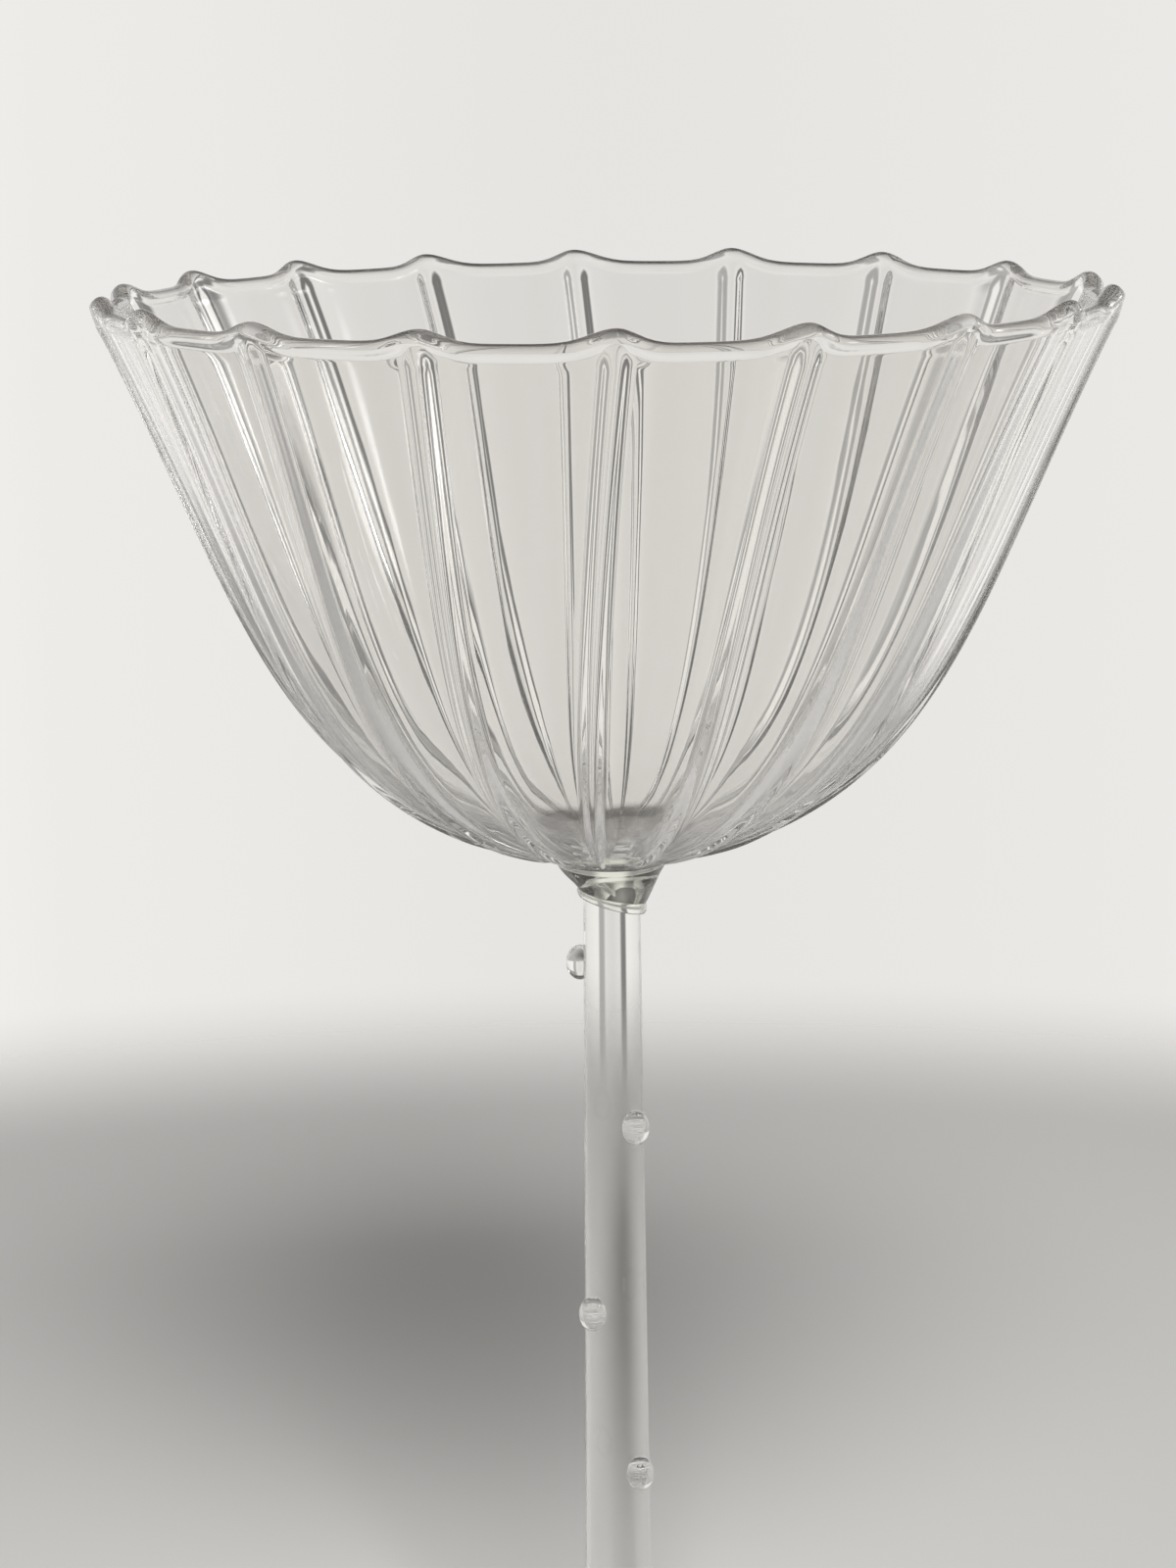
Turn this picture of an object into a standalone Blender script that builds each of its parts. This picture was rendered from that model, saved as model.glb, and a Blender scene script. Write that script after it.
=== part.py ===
"""Champagne coupe: a ribbed, twisted bowl on a collar, a beaded rod stem and a round foot.

Metres, +Z up. The origin is the centre of the foot's underside. The front is -Y, and angles
round the glass run from the front towards +X.
"""

import math

import bmesh
import bpy
from mathutils import Vector

HEIGHT = 0.168
FUSION_GAP = 0.0003
MERGE_DISTANCE = 0.00001

# Bowl: a cubic curve from the seat on the collar up to the rim, as radius and height above the seat
BOWL_DEPTH = 0.0600
BOWL_CURVE = ((0.0064, 0.0), (0.0368, 0.0078), (0.0374, 0.0287), (0.0534, 0.0604))
WALL_END = 0.965
WALL_AT_SEAT = 0.0026
WALL_AT_RIM = 0.0013
WALL_RINGS = 10

# Fire-polished lip round the top of the wall, rising into a knuckle at each rib
LIP_RADIUS = 0.0515
LIP_HALF_THICKNESS = 0.00105
LIP_HEIGHT = 0.0016
LIP_START = math.radians(200)
LIP_SWEEP = math.radians(-220)
LIP_RINGS = 8
KNUCKLE_RISE = 0.0014
KNUCKLE_LEAN = 0.3
KNUCKLE_SWELL = 0.00035
KNUCKLE_WIDTH = 0.17

# Ribs: widths are shares of the space from one rib to the next
RIB_COUNT = 18
RIB_WIDTH = 0.11
RIB_PROUD_OUTSIDE = 0.0007
RIB_PROUD_INSIDE = 0.00035
RIB_FADE = 0.004
PANEL_FLATNESS = 0.0004
FIRST_RIB = math.radians(1.4)
RIB_WANDER = (math.radians(-1.56), math.radians(1.32))
TWIST = math.radians(-6.0)
COLUMNS_PER_RIB = 8
COLUMN_CROWDING = 0.6

# Collar between the bowl and the stem
MERESE_HEIGHT = 0.0050
MERESE_TOP_RADIUS = 0.0064
MERESE_FOOT_RADIUS = 0.0036
MERESE_BULGE = 0.0004
MERESE_RINGS = 6

# Stem, a drawn rod that thickens towards the foot
STEM_TOP_RADIUS = 0.00303
STEM_FOOT_RADIUS = 0.00375
ROD_STEPS = 32

# Drops of glass on the stem, each with its height and its angle round the stem
BEAD_WIDTH = 0.0030
BEAD_TALL = 0.0038
BEAD_STANDOFF = 0.0005
BEAD_SEGMENTS = 16
BEADS = (
    (0.0958, math.radians(-105)),
    (0.0784, math.radians(38)),
    (0.0575, math.radians(-40)),
    (0.0392, math.radians(38)),
    (0.0203, math.radians(-60)),
)

# Foot, a shallow cone with a boss for the stem, a round edge and a hollow underside
FOOT_RADIUS = 0.036
FOOT_EDGE = 0.0022
FOOT_BOSS_RADIUS = 0.0045
FOOT_BOSS_TOP = 0.0090
FOOT_SLOPE_CURVE = 2.2
FOOT_REST_INNER = 0.0280
FOOT_HOLLOW = 0.0008
FOOT_RINGS = 9
FOOT_EDGE_RINGS = 5
FOOT_STEPS = 72

SMOOTH_ANGLE = math.radians(40)

SEAT_RADIUS = BOWL_CURVE[0][0]
BOWL_SEAT = HEIGHT - BOWL_DEPTH
LIP_FOOT = HEIGHT - KNUCKLE_RISE - LIP_HEIGHT
MERESE_TOP = BOWL_SEAT - FUSION_GAP
MERESE_FOOT = MERESE_TOP - MERESE_HEIGHT
STEM_TOP = MERESE_FOOT - FUSION_GAP
STEM_FOOT = FOOT_BOSS_TOP + FUSION_GAP


def clear_scene():
    for item in list(bpy.data.objects):
        bpy.data.objects.remove(item, do_unlink=True)


def make_collection(name):
    collection = bpy.data.collections.new(name)
    bpy.context.scene.collection.children.link(collection)
    return collection


def glass(name, colour):
    material = bpy.data.materials.new(name)
    material.use_nodes = True
    shader = material.node_tree.nodes["Principled BSDF"]
    shader.inputs["Base Color"].default_value = (*colour, 1.0)
    shader.inputs["Roughness"].default_value = 0.03
    shader.inputs["Metallic"].default_value = 0.0
    shader.inputs["IOR"].default_value = 1.5
    shader.inputs["Transmission Weight"].default_value = 1.0
    return material


def turned(name, profile, steps, collection):
    """Turn a profile of radius and height, which runs down its outer side, round Z."""
    mesh = bpy.data.meshes.new(name)
    points = [(radius, 0.0, height) for radius, height in profile]
    edges = [(i, i + 1) for i in range(len(points) - 1)]
    mesh.from_pydata(points, edges, [])
    piece = bpy.data.objects.new(name, mesh)
    collection.objects.link(piece)
    screw = piece.modifiers.new("turn", "SCREW")
    screw.steps = steps
    screw.render_steps = steps
    screw.use_merge_vertices = True
    screw.merge_threshold = MERGE_DISTANCE
    depsgraph = bpy.context.evaluated_depsgraph_get()
    shape = bpy.data.meshes.new_from_object(piece.evaluated_get(depsgraph))
    piece.modifiers.clear()
    piece.data = shape
    return piece


def finish(piece, material):
    piece.data.materials.append(material)
    piece.data.shade_smooth()
    piece.data.set_sharp_from_angle(angle=SMOOTH_ANGLE)


def smooth_step(value):
    value = min(max(value, 0.0), 1.0)
    return value * value * (3 - 2 * value)


def wall_point(share):
    """A point on the bowl's outside and the direction into its wall, share 0 to 1 up the wall."""
    t = share * WALL_END
    a, b, c, d = (Vector(point) for point in BOWL_CURVE)
    s = 1 - t
    point = s ** 3 * a + 3 * s * s * t * b + 3 * s * t * t * c + t ** 3 * d
    along = s * s * (b - a) + 2 * s * t * (c - b) + t * t * (d - c)
    inwards = Vector((-along.y, along.x)).normalized()
    return point + Vector((0.0, BOWL_SEAT)), inwards


def bowl_profile():
    outside = []
    inside = []
    for i in range(WALL_RINGS + 1):
        share = i / WALL_RINGS
        point, inwards = wall_point(share)
        thickness = WALL_AT_SEAT + (WALL_AT_RIM - WALL_AT_SEAT) * share
        outside.append(tuple(point))
        inside.append(tuple(point + inwards * thickness))
    lip = []
    for i in range(LIP_RINGS):
        angle = LIP_START + LIP_SWEEP * i / (LIP_RINGS - 1)
        radius = LIP_RADIUS + LIP_HALF_THICKNESS * math.cos(angle)
        lip.append((radius, LIP_FOOT + LIP_HEIGHT / 2 * (1 + math.sin(angle))))
    floor = (0.0, inside[0][1])
    seat = (0.0, BOWL_SEAT)
    return [floor] + inside + lip + outside[::-1] + [seat]


def rib_angle(index):
    """The angle of a rib at the rim, which wanders a little as hand work does."""
    angle = 2 * math.pi * index / RIB_COUNT
    first, second = RIB_WANDER
    return FIRST_RIB + angle + first * math.cos(angle) + second * math.cos(2 * angle)


def ribbed_angle(turn):
    """The angle of a column at the rim, and how far it is from its rib in spaces between ribs."""
    index = round(turn)
    offset = turn - index
    offset -= COLUMN_CROWDING * math.sin(2 * math.pi * offset) / (2 * math.pi)
    near = rib_angle(index)
    far = rib_angle(index + (1 if offset > 0 else -1))
    return near + (far - near) * abs(offset), offset


def rib_bowl(mesh):
    """Raise the ribs, flatten the panels between them, lift the knuckles and twist the bowl."""
    normals = [vertex.normal.copy() for vertex in mesh.vertices]
    for vertex, normal in zip(mesh.vertices, normals):
        x, y, z = vertex.co
        radius = math.hypot(x, y)
        if radius < MERGE_DISTANCE:
            continue
        angle, offset = ribbed_angle(math.atan2(x, -y) / (2 * math.pi) * RIB_COUNT)
        outwards = (normal.x * x + normal.y * y) / radius
        fade = smooth_step((radius - SEAT_RADIUS) / RIB_FADE)
        on_lip = smooth_step((z - LIP_FOOT) / LIP_HEIGHT)

        proud = RIB_PROUD_OUTSIDE if outwards > 0 else RIB_PROUD_INSIDE
        ridge = proud * fade * (1 - on_lip) * math.exp(-(offset / RIB_WIDTH) ** 2)
        knuckle = on_lip * math.exp(-(offset / KNUCKLE_WIDTH) ** 2)
        panel = (1 - math.cos(2 * math.pi * offset)) / 2 * fade * radius / LIP_RADIUS

        angle += TWIST * (1 - (z - BOWL_SEAT) / BOWL_DEPTH)
        rise = KNUCKLE_RISE * knuckle
        radius += ridge * outwards + KNUCKLE_SWELL * knuckle * outwards
        radius += KNUCKLE_LEAN * rise - PANEL_FLATNESS * panel
        z += ridge * normal.z + rise
        vertex.co = (radius * math.sin(angle), -radius * math.cos(angle), z)
    mesh.update()


def make_bowl(collection):
    piece = turned("bowl", bowl_profile(), RIB_COUNT * COLUMNS_PER_RIB, collection)
    rib_bowl(piece.data)
    finish(piece, glass("bowl_glass", (0.93, 0.96, 0.94)))


def make_merese(collection):
    side = []
    for i in range(MERESE_RINGS + 1):
        share = i / MERESE_RINGS
        radius = MERESE_TOP_RADIUS + (MERESE_FOOT_RADIUS - MERESE_TOP_RADIUS) * share
        bulge = MERESE_BULGE * math.sin(math.pi * share)
        side.append((radius + bulge, MERESE_TOP - MERESE_HEIGHT * share))
    profile = [(0.0, MERESE_TOP)] + side + [(0.0, MERESE_FOOT)]
    piece = turned("merese", profile, ROD_STEPS, collection)
    finish(piece, glass("merese_glass", (0.80, 0.90, 0.84)))


def stem_radius(z):
    share = (STEM_TOP - z) / (STEM_TOP - STEM_FOOT)
    return STEM_TOP_RADIUS + (STEM_FOOT_RADIUS - STEM_TOP_RADIUS) * share


def rod(name, margin, collection):
    """The stem's rod, or the same rod grown by a margin all over."""
    top = STEM_TOP + margin
    bottom = STEM_FOOT - margin
    side = [(stem_radius(z) + margin, z) for z in (top, bottom)]
    return turned(name, [(0.0, top)] + side + [(0.0, bottom)], ROD_STEPS, collection)


def make_stem(collection):
    finish(rod("stem", 0.0, collection), glass("stem_glass", (0.92, 0.95, 0.93)))


def make_beads(collection, cutters):
    """Drops of glass, each hollowed where it sits on the stem."""
    cutter = rod("bead_seat", FUSION_GAP, cutters)
    cutter.hide_render = True
    cutter.display_type = "WIRE"
    for number, (height, angle) in enumerate(BEADS, start=1):
        drop = bmesh.new()
        bmesh.ops.create_uvsphere(drop, u_segments=BEAD_SEGMENTS, v_segments=BEAD_SEGMENTS // 2, radius=0.5)
        bmesh.ops.scale(drop, vec=(BEAD_WIDTH, BEAD_WIDTH, BEAD_TALL), verts=drop.verts)
        mesh = bpy.data.meshes.new(f"stem_bead_{number}")
        drop.to_mesh(mesh)
        drop.free()
        piece = bpy.data.objects.new(mesh.name, mesh)
        collection.objects.link(piece)
        reach = stem_radius(height) + BEAD_STANDOFF
        piece.location = (reach * math.sin(angle), -reach * math.cos(angle), height)
        seat = piece.modifiers.new("seat", "BOOLEAN")
        seat.operation = "DIFFERENCE"
        seat.solver = "EXACT"
        seat.object = cutter
        finish(piece, glass(f"bead_{number}_glass", (0.92, 0.95, 0.93)))


def make_foot(collection):
    top = []
    for i in range(FOOT_RINGS + 1):
        share = i / FOOT_RINGS
        radius = FOOT_BOSS_RADIUS + (FOOT_RADIUS - FOOT_BOSS_RADIUS) * share
        rise = (FOOT_BOSS_TOP - FOOT_EDGE) * (1 - share) ** FOOT_SLOPE_CURVE
        top.append((radius, FOOT_EDGE + rise))
    edge = []
    for i in range(1, FOOT_EDGE_RINGS):
        angle = math.pi / 2 - math.pi * i / FOOT_EDGE_RINGS
        edge.append((FOOT_RADIUS + FOOT_EDGE / 2 * math.cos(angle), FOOT_EDGE / 2 * (1 + math.sin(angle))))
    under = [(FOOT_RADIUS, 0.0), (FOOT_REST_INNER, 0.0), (0.0, FOOT_HOLLOW)]
    piece = turned("foot", [(0.0, FOOT_BOSS_TOP)] + top + edge + under, FOOT_STEPS, collection)
    finish(piece, glass("foot_glass", (0.92, 0.95, 0.93)))


def main():
    clear_scene()
    coupe = make_collection("champagne_coupe")
    cutters = make_collection("cutters")
    make_bowl(coupe)
    make_merese(coupe)
    make_stem(coupe)
    make_beads(coupe, cutters)
    make_foot(coupe)


main()
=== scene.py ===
"""Champagne coupe: the looks of a hand-made ribbed glass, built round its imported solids."""

import math

import bmesh
import bpy
from mathutils import Matrix, Vector


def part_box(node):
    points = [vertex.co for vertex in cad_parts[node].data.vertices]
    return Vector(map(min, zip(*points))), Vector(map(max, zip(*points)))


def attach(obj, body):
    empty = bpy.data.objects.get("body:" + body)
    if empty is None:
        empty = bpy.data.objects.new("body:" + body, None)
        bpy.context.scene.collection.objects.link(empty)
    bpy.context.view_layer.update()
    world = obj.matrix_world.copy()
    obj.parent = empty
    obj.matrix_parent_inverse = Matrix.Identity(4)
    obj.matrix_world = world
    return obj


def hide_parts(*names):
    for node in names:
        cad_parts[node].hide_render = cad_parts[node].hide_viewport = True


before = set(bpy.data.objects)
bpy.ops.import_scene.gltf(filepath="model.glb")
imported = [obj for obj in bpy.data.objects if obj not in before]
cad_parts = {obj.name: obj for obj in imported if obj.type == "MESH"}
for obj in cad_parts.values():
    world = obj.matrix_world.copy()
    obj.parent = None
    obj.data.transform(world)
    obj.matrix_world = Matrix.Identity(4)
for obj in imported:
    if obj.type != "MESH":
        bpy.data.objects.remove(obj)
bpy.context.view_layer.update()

# Bowl
# One gather of clear glass, blown into a mould of eighteen ribs, twisted a little as it came out and
# opened to a bell. Its rim was melted until it ran into a thick round lip with a knuckle at each rib.
bowl_low, bowl_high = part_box("bowl")
seat_z = (bowl_low.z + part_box("merese")[1].z) / 2
bell_curve = ((0.0064, 0.0), (0.0368, 0.0078), (0.0374, 0.0287), (0.0534, 0.0604))
bell_end = 0.967
bell_depth = bowl_high.z - bowl_low.z
wall_at_seat = 0.0018
wall_at_rim = 0.0013
wall_thinning = 5
wall_rings = 92
wall_ring_crowding = 0.8

lip_radius = 0.0515
lip_thickness = 0.0020
lip_start = 0.993
lip_height = 0.0008
lip_rings = 16
crown_height = 0.0005
# The share of painted shade in the lip's crown.
crown_shade = 0.82
seat_inside_radius = 0.0078
seat_outside_radius = 0.0062
seat_blend = 0.0012
knuckle_rise = 0.0014
knuckle_lean = 0.5
knuckle_swell = 0.0003
knuckle_left = 0.19
knuckle_right = 0.15
swell_height = 0.0006
lip_foot = bowl_high.z - knuckle_rise - lip_thickness / 2 - lip_height
swell_z = lip_foot + lip_height
crown_foot = bowl_high.z - knuckle_rise - crown_height

rib_count = 18
columns_per_rib = 26
rib_crowding = 0.75
rib_width = 0.08
rib_gathering = 0.6
rib_roundness = 1.25
rib_proud_outside = 0.0008
rib_softening = 0.25
rib_proud_inside = 0.00035
rib_width_inside = 0.18
rib_fade = 0.004
rib_full_radius = 0.016
rib_inside_rise = (0.012, 0.034)
rib_unevenness = 0.12
rib_uneven_start = 0.6
panel_flatness = 0.0004
first_rib = math.radians(1.4)
rib_wander = (math.radians(-1.56), math.radians(1.32))
twist = math.radians(-6.0)
weld_distance = 0.000002


def turned(profile, sectors, steps):
    """A closed turned shape from a profile of radius and height: one sector, repeated round the axis."""
    shape = bmesh.new()
    points = [shape.verts.new((radius, 0.0, height)) for radius, height in profile]
    edges = [shape.edges.new(pair) for pair in zip(points, points[1:])]
    bmesh.ops.spin(shape, geom=points + edges, cent=(0, 0, 0), axis=(0, 0, 1), dvec=(0, 0, 0),
                   angle=2 * math.pi / sectors, steps=steps)
    sector = list(shape.verts) + list(shape.edges) + list(shape.faces)
    for i in range(1, sectors):
        copy = bmesh.ops.duplicate(shape, geom=sector)["geom"]
        corners = [item for item in copy if isinstance(item, bmesh.types.BMVert)]
        around = Matrix.Rotation(2 * math.pi * i / sectors, 3, "Z")
        bmesh.ops.rotate(shape, cent=(0, 0, 0), matrix=around, verts=corners)
    bmesh.ops.remove_doubles(shape, verts=shape.verts, dist=weld_distance)
    bmesh.ops.recalc_face_normals(shape, faces=shape.faces)
    return shape


def smooth_step(value):
    """Ease from 0 to 1 as the value goes from 0 to 1, level at both ends."""
    value = min(max(value, 0.0), 1.0)
    return value * value * (3 - 2 * value)


def wall_point(share):
    """A point on the bowl's outside, the way up its wall and the way into it, share 0 to 1 up the wall."""
    along = share * bell_end
    rest = 1 - along
    seat, lower, upper, rim = (Vector(point) for point in bell_curve)
    point = (rest ** 3 * seat + 3 * rest * rest * along * lower
             + 3 * rest * along * along * upper + along ** 3 * rim)
    upwards = (rest * rest * (lower - seat) + 2 * rest * along * (upper - lower)
               + along * along * (rim - upper)).normalized()
    return point + Vector((0.0, bowl_low.z)), upwards, Vector((-upwards.y, upwards.x))


def wall_thickness(share):
    """The wall is thick only near its seat, and thickens again into the lip, all on its inside."""
    wall = wall_at_rim + (wall_at_seat - wall_at_rim) * (1 - share) ** wall_thinning
    return wall + (lip_thickness - wall_at_rim) * smooth_step((share - lip_start) / (1 - lip_start))


def bowl_profile():
    """The bowl's half section: up its inside, over the lip, down its outside and in under the seat."""
    outside = []
    inside = []
    for i in range(wall_rings + 1):
        share = i / wall_rings
        share += wall_ring_crowding * math.sin(math.pi * share) / math.pi
        point, _, inwards = wall_point(share)
        outside.append(tuple(point))
        inside.append(tuple(point + inwards * wall_thickness(share)))
    outside[0] = (bell_curve[0][0], seat_z)
    point, upwards, inwards = wall_point(1.0)
    half = lip_thickness / 2
    lip = []
    for i in range(1, lip_rings):
        angle = math.pi * i / lip_rings
        lip.append(tuple(point + half * (inwards * (1 + math.cos(angle)) + upwards * math.sin(angle))))
    return [(0.0, inside[0][1])] + inside + lip + outside[::-1] + [(0.0, seat_z)]


def rib_angle(index):
    """The angle of a rib at the rim, which wanders a little as hand work does."""
    angle = 2 * math.pi * index / rib_count
    first, second = rib_wander
    return first_rib + angle + first * math.cos(angle) + second * math.cos(2 * angle)


def rib_strength(index):
    """How boldly a rib came out of the mould: no two are quite alike."""
    turn = 2 * math.pi * index / rib_count
    return 1 + rib_unevenness * math.sin(3 * turn + rib_uneven_start) * math.cos(2 * turn)


def rib_height(offset, radius, outwards):
    """A rib stands out as a round cane outside and as a soft swelling inside, and lower near the seat."""
    if outwards < 0:
        grown = smooth_step((radius - rib_inside_rise[0]) / (rib_inside_rise[1] - rib_inside_rise[0]))
        return grown * rib_proud_inside * math.exp(-(offset / rib_width_inside) ** 2)
    grown = min(radius / rib_full_radius, 1.0)
    width = rib_width * (1 + rib_gathering * (1 - radius / lip_radius))
    proud = rib_proud_outside * (1 - rib_softening * radius / lip_radius)
    return grown * proud * max(0.0, 1 - (offset / width) ** 2) ** rib_roundness


def thick_glass_shade(radius, z, upwards):
    """How much the glass is darkened, from 0 to 1: fully in the seat, its thickest glass, and nearly so in
    the lip's crown; the darkening is painted shade.
    """
    seat_radius = seat_inside_radius if upwards > 0 else seat_outside_radius
    seat = 1 - smooth_step((radius - seat_radius) / seat_blend)
    crown = crown_shade * smooth_step((z - crown_foot) / crown_height)
    return max(seat, crown)


def rib_bowl(shape):
    """Raise the ribs, flatten the panels, lift the knuckles, twist the bowl and note where painted shade
    darkens it.
    """
    # The attribute "thick" holds where painted shade darkens the seat and the lip's crown.
    thick = shape.verts.layers.float.new("thick")
    shape.normal_update()
    normals = [vertex.normal.copy() for vertex in shape.verts]
    for vertex, normal in zip(shape.verts, normals):
        x, y, z = vertex.co
        radius = math.hypot(x, y)
        vertex[thick] = thick_glass_shade(radius, z, normal.z)
        if radius < weld_distance:
            continue
        turn = math.atan2(x, -y) / (2 * math.pi) * rib_count
        index = round(turn)
        offset = turn - index
        offset -= rib_crowding * math.sin(2 * math.pi * offset) / (2 * math.pi)
        near = rib_angle(index)
        far = rib_angle(index + (1 if offset > 0 else -1))
        angle = near + (far - near) * abs(offset)

        outwards = (normal.x * x + normal.y * y) / radius
        fade = smooth_step((radius - bell_curve[0][0]) / rib_fade)
        on_lip = smooth_step((z - lip_foot) / lip_height)
        ridge = rib_height(offset, radius, outwards) * rib_strength(index) * fade * (1 - on_lip)
        flank = knuckle_right if offset > 0 else knuckle_left
        knuckle = rib_strength(index) * math.exp(-(offset / flank) ** 2)
        panel = (1 - math.cos(2 * math.pi * offset)) / 2 * fade * radius / lip_radius

        angle += twist * (1 - (z - bowl_low.z) / bell_depth)
        rise = knuckle_rise * knuckle * on_lip
        swell = knuckle_swell * knuckle * math.exp(-((z - swell_z) / swell_height) ** 2)
        radius += (ridge + swell) * outwards
        radius += knuckle_lean * rise - panel_flatness * panel
        vertex.co = (radius * math.sin(angle), -radius * math.cos(angle), z + ridge * normal.z + rise)


glass_ior = 1.5
cord_drift = (0.0, 0.0, 5.0)
joint_slot = 1


def drawn_cords():
    """Faint cords that the glass keeps from being drawn: streaks that follow the twisted ribs."""
    group = bpy.data.node_groups.new("drawn_cords", "ShaderNodeTree")
    group.interface.new_socket("Fineness", in_out="INPUT", socket_type="NodeSocketFloat")
    group.interface.new_socket("Cords", in_out="OUTPUT", socket_type="NodeSocketFloat")
    group.interface.new_socket("Relief", in_out="OUTPUT", socket_type="NodeSocketFloat")
    nodes, links = group.nodes, group.links
    inputs = nodes.new("NodeGroupInput")
    outputs = nodes.new("NodeGroupOutput")
    place = nodes.new("ShaderNodeTexCoord")
    split = nodes.new("ShaderNodeSeparateXYZ")
    lag = nodes.new("ShaderNodeMath")
    lag.operation = "MULTIPLY_ADD"
    lag.inputs[1].default_value = twist / bell_depth
    lag.inputs[2].default_value = -twist * (1 + bowl_low.z / bell_depth)
    untwist = nodes.new("ShaderNodeVectorRotate")
    untwist.rotation_type = "Z_AXIS"
    level = nodes.new("ShaderNodeVectorMath")
    level.operation = "MULTIPLY"
    level.inputs[1].default_value = (1.0, 1.0, 0.0)
    around = nodes.new("ShaderNodeVectorMath")
    around.operation = "NORMALIZE"
    spread = nodes.new("ShaderNodeVectorMath")
    spread.operation = "SCALE"
    drift = nodes.new("ShaderNodeVectorMath")
    drift.operation = "MULTIPLY_ADD"
    drift.inputs[1].default_value = cord_drift
    noise = nodes.new("ShaderNodeTexNoise")
    noise.inputs["Scale"].default_value = 1.0
    noise.inputs["Detail"].default_value = 0.0
    reach = nodes.new("ShaderNodeVectorMath")
    reach.operation = "LENGTH"
    relief = nodes.new("ShaderNodeMath")
    relief.operation = "MULTIPLY"
    links.new(place.outputs["Object"], split.inputs["Vector"])
    links.new(split.outputs["Z"], lag.inputs[0])
    links.new(place.outputs["Object"], untwist.inputs["Vector"])
    links.new(lag.outputs["Value"], untwist.inputs["Angle"])
    links.new(untwist.outputs["Vector"], level.inputs[0])
    links.new(level.outputs["Vector"], around.inputs[0])
    links.new(around.outputs["Vector"], spread.inputs[0])
    links.new(inputs.outputs["Fineness"], spread.inputs["Scale"])
    links.new(place.outputs["Object"], drift.inputs[0])
    links.new(spread.outputs["Vector"], drift.inputs[2])
    links.new(drift.outputs["Vector"], noise.inputs["Vector"])
    links.new(level.outputs["Vector"], reach.inputs[0])
    links.new(noise.outputs["Fac"], relief.inputs[0])
    links.new(reach.outputs["Value"], relief.inputs[1])
    links.new(noise.outputs["Fac"], outputs.inputs["Cords"])
    links.new(relief.outputs["Value"], outputs.inputs["Relief"])
    return group


cords_group = drawn_cords()


def clear_glass(name, pale_tint, deep_tint, fineness, ripple):
    """Polished glass whose tint and surface follow its cords."""
    material = bpy.data.materials.new(name)
    material.use_nodes = True
    nodes, links = material.node_tree.nodes, material.node_tree.links
    shader = nodes["Principled BSDF"]
    shader.inputs["Transmission Weight"].default_value = 1.0
    shader.inputs["IOR"].default_value = glass_ior
    shader.inputs["Roughness"].default_value = 0.0
    cords = nodes.new("ShaderNodeGroup")
    cords.node_tree = cords_group
    cords.inputs["Fineness"].default_value = fineness
    tint = nodes.new("ShaderNodeMix")
    tint.data_type = "RGBA"
    tint.inputs["A"].default_value = (*pale_tint, 1.0)
    tint.inputs["B"].default_value = (*deep_tint, 1.0)
    links.new(cords.outputs["Cords"], tint.inputs["Factor"])
    links.new(tint.outputs["Result"], shader.inputs["Base Color"])
    bump = nodes.new("ShaderNodeBump")
    bump.inputs["Strength"].default_value = 1.0
    bump.inputs["Distance"].default_value = ripple
    links.new(cords.outputs["Relief"], bump.inputs["Height"])
    links.new(bump.outputs["Normal"], shader.inputs["Normal"])
    return material


def fused_joint():
    """Where two gathers are fused no surface is left between them, so light passes straight on."""
    material = bpy.data.materials.new("fused_joint")
    material.use_nodes = True
    shader = material.node_tree.nodes["Principled BSDF"]
    shader.inputs["Alpha"].default_value = 0.0
    return material


joint_glass = fused_joint()


def add_piece(shape, name, node, glass):
    """Make the finished piece an object that stands for its solid."""
    for edge in shape.edges:
        sides = {face.material_index for face in edge.link_faces}
        edge.smooth = len(sides) == 1
    for face in shape.faces:
        face.smooth = True
    mesh = bpy.data.meshes.new(name)
    shape.to_mesh(mesh)
    shape.free()
    mesh.materials.append(glass)
    mesh.materials.append(joint_glass)
    piece = bpy.data.objects.new(name, mesh)
    bpy.context.scene.collection.objects.link(piece)
    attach(piece, "root")
    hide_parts(node)
    return piece


def mark_joint(shape, height, radius):
    """Give the flat disc at this height, out to this radius, the fused joint's finish."""
    for face in shape.faces:
        corners = [vertex.co for vertex in face.verts]
        level = all(abs(corner.z - height) < weld_distance for corner in corners)
        within = all(math.hypot(corner.x, corner.y) < radius + weld_distance for corner in corners)
        if level and within:
            face.material_index = joint_slot


bowl_pale = (0.957, 0.950, 0.935)
bowl_deep = (0.931, 0.920, 0.900)
# A near-black tint for the seat and the lip's crown: painted shade for the dark line along the lip and the
# dark band in the seat, beyond the deeper colour of thick glass.
thick_glass_and_shade_tint = (0.17, 0.155, 0.145)


def darken_thick_glass_with_shade(material):
    """The seat and the melted crown of the lip are the bowl's thickest glass; their colour is darkened much
    further, as painted shade.
    """
    nodes, links = material.node_tree.nodes, material.node_tree.links
    shader = nodes["Principled BSDF"]
    body_tint = shader.inputs["Base Color"].links[0].from_socket
    thick = nodes.new("ShaderNodeAttribute")
    thick.attribute_name = "thick"
    tint = nodes.new("ShaderNodeMix")
    tint.data_type = "RGBA"
    tint.inputs["B"].default_value = (*thick_glass_and_shade_tint, 1.0)
    links.new(thick.outputs["Fac"], tint.inputs["Factor"])
    links.new(body_tint, tint.inputs["A"])
    links.new(tint.outputs["Result"], shader.inputs["Base Color"])


bowl = turned(bowl_profile(), rib_count, columns_per_rib)
rib_bowl(bowl)
mark_joint(bowl, seat_z, bell_curve[0][0])
bowl_glass = clear_glass("bowl_glass", bowl_pale, bowl_deep, fineness=14.0, ripple=0.0005)
# Painted shade darkens the bowl's seat and the crown of its lip.
darken_thick_glass_with_shade(bowl_glass)
add_piece(bowl, "coupe_bowl", "bowl", bowl_glass)

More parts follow.
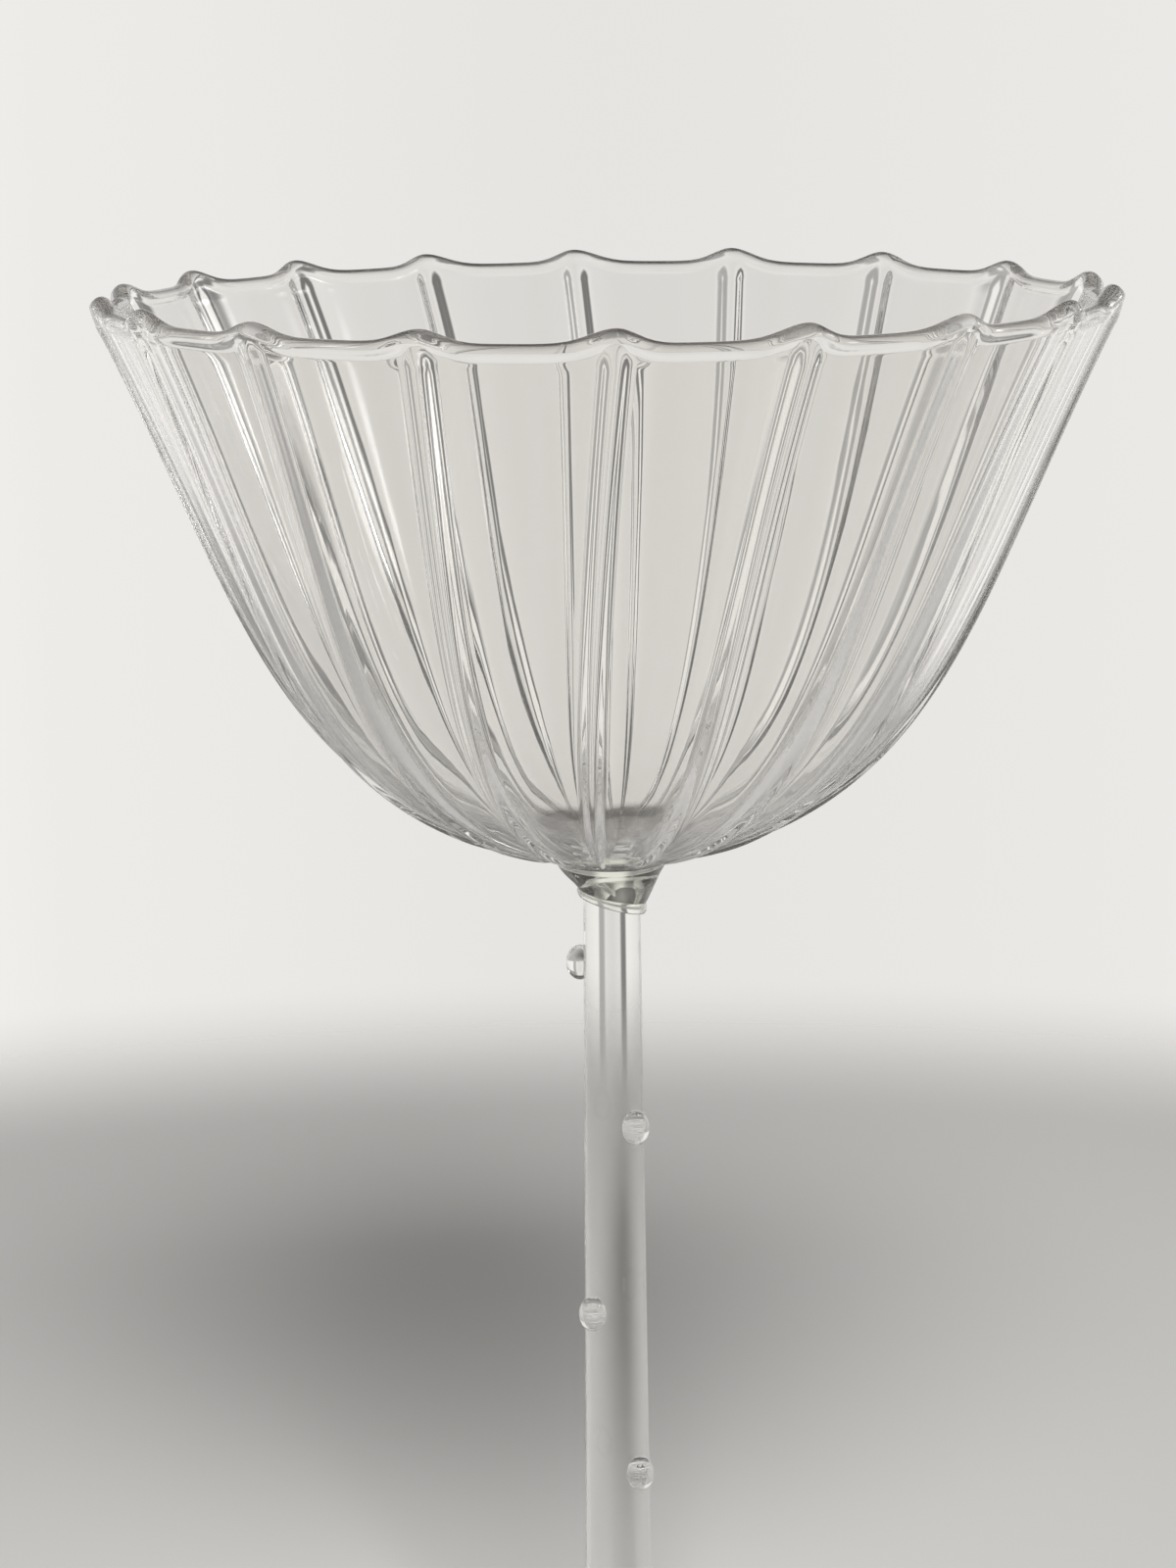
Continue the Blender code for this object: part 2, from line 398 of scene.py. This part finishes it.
# Collar
# A small gather of greenish glass, pressed to a cone while soft, that fuses the bowl to the stem.
merese_low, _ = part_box("merese")
stem_low, stem_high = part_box("stem")
collar_foot_z = (merese_low.z + stem_high.z) / 2
collar_top_radius = bell_curve[0][0]
collar_foot_radius = 0.0036
collar_waist = 0.84
collar_ring = 0.00012
collar_seam = 0.00018
collar_seam_at = 0.10
collar_seam_width = 0.06
collar_rings = 40
collar_pale = (0.94, 0.945, 0.88)
collar_deep = (0.88, 0.89, 0.79)
joint_tilt = 0.28
joint_reach = 0.004
stem_top_radius = 0.00303
round_sectors = 16
round_steps = 8


def tilt_joint(shape):
    """The stem was put on a little askew, so the joint under the collar runs down to the right."""
    for vertex in shape.verts:
        near = smooth_step(1 - abs(vertex.co.z - collar_foot_z) / joint_reach)
        vertex.co.z -= joint_tilt * vertex.co.x * near


collar_side = []
for i in range(collar_rings + 1):
    share = i / collar_rings
    narrowing = min(share / collar_waist, 1.0)
    radius = collar_top_radius + (collar_foot_radius - collar_top_radius) * narrowing
    ring = collar_ring * math.sin(math.pi * max(share - collar_waist, 0.0) / (1 - collar_waist))
    seam = collar_seam * math.exp(-((share - collar_seam_at) / collar_seam_width) ** 2)
    collar_side.append((radius + ring - seam, seat_z + (collar_foot_z - seat_z) * share))
collar_under = [(stem_top_radius, collar_foot_z), (0.0, collar_foot_z)]
collar = turned([(0.0, seat_z)] + collar_side + collar_under, round_sectors, round_steps)
mark_joint(collar, seat_z, collar_side[0][0])
mark_joint(collar, collar_foot_z, stem_top_radius)
tilt_joint(collar)
collar_glass = clear_glass("collar_glass", collar_pale, collar_deep, fineness=5.0, ripple=0.006)
add_piece(collar, "coupe_collar", "merese", collar_glass)

# Stem
# A solid rod of clear glass, drawn by hand, so it thickens a little towards the foot. It is thicker than
# the bowl's wall, so its colour is a little deeper.
_, foot_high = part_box("foot")
stem_foot_z = (stem_low.z + foot_high.z) / 2
stem_foot_radius = 0.00375
stem_rings = 400
stem_pale = (0.90, 0.893, 0.88)
stem_deep = (0.85, 0.842, 0.825)
drop_places = ((0.0958, -105), (0.0784, 38), (0.0575, -40), (0.0392, 38), (0.0203, -60))
drop_half = Vector((0.0015, 0.0015, 0.0019))
drop_standoff = 0.0005


def stem_radius(z):
    """The stem's radius at this height."""
    share = (stem_high.z - z) / (stem_high.z - stem_low.z)
    return stem_top_radius + (stem_foot_radius - stem_top_radius) * share


def drop_middle(height, angle):
    """The middle of a drop on the stem, by its height and its angle from the front."""
    reach = stem_radius(height) + drop_standoff
    return Vector((reach * math.sin(angle), -reach * math.cos(angle), height))


drop_middles = [drop_middle(height, math.radians(degrees)) for height, degrees in drop_places]


def under_a_drop(point):
    """Whether a point of the stem's surface is inside one of the drops melted on to it."""
    for middle in drop_middles:
        away = point - middle
        if sum((away[i] / drop_half[i]) ** 2 for i in range(3)) < 1:
            return True
    return False


stem_side = []
for i in range(stem_rings + 1):
    z = collar_foot_z + (stem_foot_z - collar_foot_z) * i / stem_rings
    stem_side.append((stem_radius(z), z))
stem = turned([(0.0, collar_foot_z)] + stem_side + [(0.0, stem_foot_z)], round_sectors, round_steps)
mark_joint(stem, collar_foot_z, stem_radius(collar_foot_z))
mark_joint(stem, stem_foot_z, stem_radius(stem_foot_z))
for face in stem.faces:
    if under_a_drop(face.calc_center_median()):
        face.material_index = joint_slot
tilt_joint(stem)
stem_glass = clear_glass("stem_glass", stem_pale, stem_deep, fineness=3.0, ripple=0.010)
add_piece(stem, "coupe_stem", "stem", stem_glass)

# Drops
# Five small drops of clear glass, melted on to the stem one after another round its sides.
drop_columns = 72
drop_rings = 48

drop_glass = clear_glass("drop_glass", bowl_pale, bowl_deep, fineness=4.0, ripple=0.004)
for number, middle in enumerate(drop_middles, start=1):
    drop = bmesh.new()
    bmesh.ops.create_uvsphere(drop, u_segments=drop_columns, v_segments=drop_rings, radius=1.0)
    bmesh.ops.scale(drop, vec=drop_half, verts=drop.verts)
    bmesh.ops.translate(drop, vec=middle, verts=drop.verts)
    seat = set()
    for vertex in drop.verts:
        x, y, z = vertex.co
        if math.hypot(x, y) < stem_radius(z):
            seat.add(vertex)
            grow = stem_radius(z) / math.hypot(x, y)
            vertex.co = (x * grow, y * grow, z)
    for face in drop.faces:
        if all(vertex in seat for vertex in face.verts):
            face.material_index = joint_slot
    add_piece(drop, f"coupe_drop_{number}", f"stem_bead_{number}", drop_glass)

# Foot
# A round foot of clear glass, spun out to a shallow cone with a round edge and a hollow underside.
foot_radius = 0.036
foot_edge = 0.0022
foot_boss_radius = 0.0045
foot_slope_curve = 2.2
foot_rest_inner = 0.028
foot_hollow = 0.0008
foot_rings = 40
foot_edge_rings = 14
foot_sectors = 20
foot_steps = 9

foot_top = []
for i in range(foot_rings + 1):
    share = i / foot_rings
    radius = foot_boss_radius + (foot_radius - foot_boss_radius) * share
    rise = (1 - share) ** foot_slope_curve
    foot_top.append((radius, foot_edge + (stem_foot_z - foot_edge) * rise))
foot_round = []
half_edge = foot_edge / 2
for i in range(1, foot_edge_rings):
    angle = math.pi / 2 - math.pi * i / foot_edge_rings
    foot_round.append((foot_radius + half_edge * math.cos(angle), half_edge * (1 + math.sin(angle))))
foot_under = [(foot_radius, 0.0), (foot_rest_inner, 0.0), (0.0, foot_hollow)]
foot_seat = [(0.0, stem_foot_z), (stem_foot_radius, stem_foot_z)]
foot = turned(foot_seat + foot_top + foot_round + foot_under, foot_sectors, foot_steps)
mark_joint(foot, stem_foot_z, stem_foot_radius)
foot_glass = clear_glass("foot_glass", bowl_pale, bowl_deep, fineness=8.0, ripple=0.004)
clear_foot = add_piece(foot, "coupe_foot", "foot", foot_glass)
clear_foot.visible_shadow = False

# Studio
# A plain pale satin table top that fades out at its edge, before a pale wall with a dark card at each side,
# in a room that is dark above but for a lighter patch high behind the glass. A softbox lights it from the
# front, and two more gleam at its right.
table_radius = 0.36
table_solid = 0.26
table_colour = (0.50, 0.493, 0.479)
table_drop = 0.0002
table_segments = 128
table_finish = {
    "Roughness": 0.5, "IOR": 2.5, "Coat Weight": 1.0, "Coat Roughness": 0.5, "Coat IOR": 2.0,
    "Sheen Weight": 1.0, "Sheen Roughness": 0.35,
}
wall_warmth = (1.0, 0.985, 0.96)
wall_greys = (
    (-180, 0.72), (-140, 0.68), (-105, 0.62), (-75, 0.66), (-45, 0.94), (-22, 1.0), (-19, 0.20),
    (-14, 0.20), (-10, 0.88), (-8, 0.84), (0, 0.79), (8, 0.82), (10, 0.88), (14, 0.45), (19, 0.45),
    (22, 1.0), (45, 0.94), (75, 0.66), (105, 0.62), (140, 0.68), (180, 0.72),
)
room_greys = (
    (-180, 0.30), (-112, 0.30), (-95, 0.20), (-60, 0.20), (-45, 0.35), (-17, 0.35), (-7, 0.85),
    (7, 0.85), (17, 0.35), (45, 0.35), (60, 0.20), (95, 0.20), (112, 0.30), (180, 0.30),
)
room_foot = (0.10, 0.20)
ceiling_foot = (0.30, 0.50)
ceiling_grey = 0.10

table_shape = bmesh.new()
bmesh.ops.create_circle(table_shape, cap_ends=True, segments=table_segments, radius=table_radius)
bmesh.ops.translate(table_shape, vec=(0, 0, -table_drop), verts=table_shape.verts)
table_mesh = bpy.data.meshes.new("table_top")
table_shape.to_mesh(table_mesh)
table_shape.free()
table = bpy.data.objects.new("table_top", table_mesh)
bpy.context.scene.collection.objects.link(table)

table_paint = bpy.data.materials.new("table_paint")
table_paint.use_nodes = True
paint_nodes, paint_links = table_paint.node_tree.nodes, table_paint.node_tree.links
paint = paint_nodes["Principled BSDF"]
paint.inputs["Base Color"].default_value = (*table_colour, 1.0)
paint.inputs["Sheen Tint"].default_value = (*wall_warmth, 1.0)
for socket, value in table_finish.items():
    paint.inputs[socket].default_value = value
table_point = paint_nodes.new("ShaderNodeTexCoord")
reach = paint_nodes.new("ShaderNodeVectorMath")
reach.operation = "LENGTH"
fade = paint_nodes.new("ShaderNodeMapRange")
fade.interpolation_type = "SMOOTHSTEP"
fade.inputs["From Min"].default_value = table_solid
fade.inputs["From Max"].default_value = table_radius
fade.inputs["To Min"].default_value = 1.0
fade.inputs["To Max"].default_value = 0.0
paint_links.new(table_point.outputs["Object"], reach.inputs[0])
paint_links.new(reach.outputs["Value"], fade.inputs["Value"])
paint_links.new(fade.outputs["Result"], paint.inputs["Alpha"])
table_mesh.materials.append(table_paint)

world = bpy.data.worlds.new("studio")
bpy.context.scene.world = world
world.use_nodes = True
world_nodes, world_links = world.node_tree.nodes, world.node_tree.links
wall = world_nodes["Background"]
direction = world_nodes.new("ShaderNodeTexCoord")
split = world_nodes.new("ShaderNodeSeparateXYZ")
around = world_nodes.new("ShaderNodeMath")
around.operation = "ARCTAN2"
bearing = world_nodes.new("ShaderNodeMapRange")
bearing.inputs["From Min"].default_value = -math.pi
bearing.inputs["From Max"].default_value = math.pi
world_links.new(direction.outputs["Generated"], split.inputs["Vector"])
world_links.new(split.outputs["X"], around.inputs[0])
world_links.new(split.outputs["Y"], around.inputs[1])
world_links.new(around.outputs["Value"], bearing.inputs["Value"])


def grey_ring(greys):
    """A ring of greys round the glass by their angle, where 0 is straight behind it."""
    ring = world_nodes.new("ShaderNodeValToRGB")
    ring.color_ramp.interpolation = "EASE"
    for degrees, _ in greys[1:-1]:
        ring.color_ramp.elements.new(0.5 + degrees / 360)
    for stop, (degrees, grey) in zip(ring.color_ramp.elements, greys):
        stop.position = 0.5 + degrees / 360
        stop.color = (*(grey * share for share in wall_warmth), 1.0)
    world_links.new(bearing.outputs["Result"], ring.inputs["Fac"])
    return ring.outputs["Color"]


def above(foot, upper, lower):
    """Go over from the lower grey to the upper one between these two heights on the unit sphere."""
    height = world_nodes.new("ShaderNodeMapRange")
    height.interpolation_type = "SMOOTHSTEP"
    height.inputs["From Min"].default_value = foot[0]
    height.inputs["From Max"].default_value = foot[1]
    shades = world_nodes.new("ShaderNodeMix")
    shades.data_type = "RGBA"
    world_links.new(split.outputs["Z"], height.inputs["Value"])
    world_links.new(height.outputs["Result"], shades.inputs["Factor"])
    world_links.new(lower, shades.inputs["A"])
    world_links.new(upper, shades.inputs["B"])
    return shades.outputs["Result"]


ceiling_greys = ((-180, ceiling_grey), (180, ceiling_grey))
room_over_wall = above(room_foot, grey_ring(room_greys), grey_ring(wall_greys))
studio_shades = above(ceiling_foot, grey_ring(ceiling_greys), room_over_wall)
world_links.new(studio_shades, wall.inputs["Color"])


def soft_box(name, place, aim, width, height, power):
    """A softbox: a large lamp behind white cloth."""
    lamp = bpy.data.lights.new(name, "AREA")
    lamp.shape = "RECTANGLE"
    lamp.size = width
    lamp.size_y = height
    lamp.energy = power
    box = bpy.data.objects.new(name, lamp)
    bpy.context.scene.collection.objects.link(box)
    box.location = place
    box.rotation_euler = (Vector(aim) - Vector(place)).to_track_quat("-Z", "Y").to_euler()
    return box


key_place = (0.09, -0.635, 0.70)
key_aim = (0.0, 0.0, 0.05)
key_spread = math.radians(60)
key_box = soft_box("key_box", key_place, key_aim, width=0.35, height=0.35, power=2.1)
key_box.data.spread = key_spread
key_box.visible_glossy = False
key_box.visible_transmission = False


cloth_middle = (0.5, 0.5, 0.0)
cloth_half = 0.5


def soft_edges(box):
    """Let a softbox fade out towards its edges, so that it leaves no hard edge on the glass."""
    box.data.use_nodes = True
    nodes, links = box.data.node_tree.nodes, box.data.node_tree.links
    cloth = nodes.new("ShaderNodeNewGeometry")
    away = nodes.new("ShaderNodeVectorMath")
    away.operation = "DISTANCE"
    away.inputs[1].default_value = cloth_middle
    glow = nodes.new("ShaderNodeMapRange")
    glow.interpolation_type = "SMOOTHSTEP"
    glow.inputs["From Max"].default_value = cloth_half
    glow.inputs["To Min"].default_value = 1.0
    glow.inputs["To Max"].default_value = 0.0
    links.new(cloth.outputs["Parametric"], away.inputs[0])
    links.new(away.outputs["Value"], glow.inputs["Value"])
    links.new(glow.outputs["Result"], nodes["Emission"].inputs["Strength"])


side_box_aim = Vector((0.0, 0.0, 0.15))
side_box_distance = 1.1


def side_box(name, side_degrees, lift_degrees):
    """A soft-edged box at the right, this many degrees round from straight behind the glass and up."""
    side = math.radians(side_degrees)
    lift = math.radians(lift_degrees)
    towards = Vector((math.sin(side) * math.cos(lift), math.cos(side) * math.cos(lift), math.sin(lift)))
    place = side_box_aim + side_box_distance * towards
    box = soft_box(name, place, side_box_aim, width=0.30, height=0.36, power=2.6)
    soft_edges(box)
    box.visible_camera = False


side_box("right_box", side_degrees=97, lift_degrees=29)
side_box("back_box", side_degrees=60, lift_degrees=19)

# Camera
# It stands where the photograph was taken: in front of the glass, a little above its rim, looking
# slightly down. Light may bounce often, because it crosses many surfaces inside the glass.
camera_place = (0.0, -0.3969, 0.1994)
camera_turn = (math.radians(78.06), math.radians(0.61), math.radians(0.22))
camera_lens = 88.0
glass_bounces = 64
clear_bounces = 32

lens = bpy.data.cameras.new("camera")
lens.lens = camera_lens
camera = bpy.data.objects.new("camera", lens)
camera.location = camera_place
camera.rotation_euler = camera_turn
scene = bpy.context.scene
scene.collection.objects.link(camera)
scene.camera = camera
scene.view_settings.view_transform = "Standard"
scene.cycles.max_bounces = glass_bounces
scene.cycles.glossy_bounces = glass_bounces
scene.cycles.transmission_bounces = glass_bounces
scene.cycles.transparent_max_bounces = clear_bounces
scene.cycles.caustics_reflective = False
scene.cycles.caustics_refractive = True
